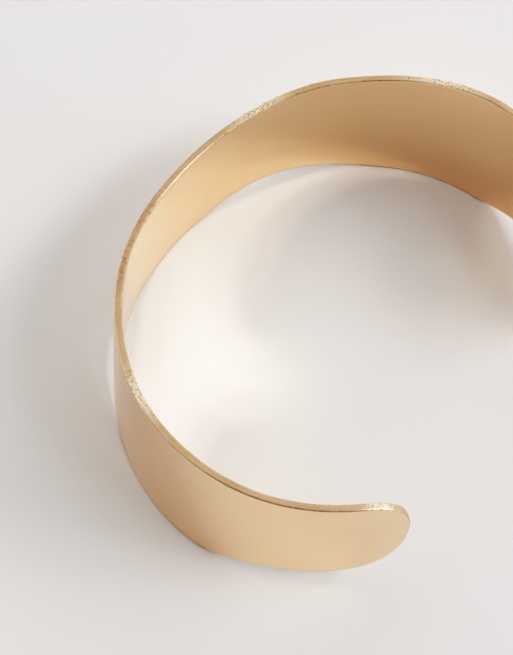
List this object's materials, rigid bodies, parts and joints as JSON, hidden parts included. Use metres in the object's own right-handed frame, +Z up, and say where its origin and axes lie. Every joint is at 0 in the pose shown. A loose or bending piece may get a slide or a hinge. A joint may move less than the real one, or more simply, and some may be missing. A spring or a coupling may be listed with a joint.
{
  "type": "open cuff bangle",
  "caption": "Open C-shaped cuff bangle of thin gold-toned sheet with softly waved edges and rounded ends, worn round a wrist and shown lying on its side.",
  "frame": {"origin": "on the surface that the cuff lies on, under the centre of its bounding box", "axes": "+Z up from the surface, +X out through the gap between the two ends, Y across the wrist opening's long way; the halves mirror across Y = 0"},
  "size_m": [0.0484, 0.0624, 0.0205],
  "materials": {
    "gold_tone": "satin-polished gold-toned plate over brass, with a brighter sheared edge"
  },
  "bodies": {
    "root": {"cuff_band": "gold_tone"}
  },
  "joints": []
}
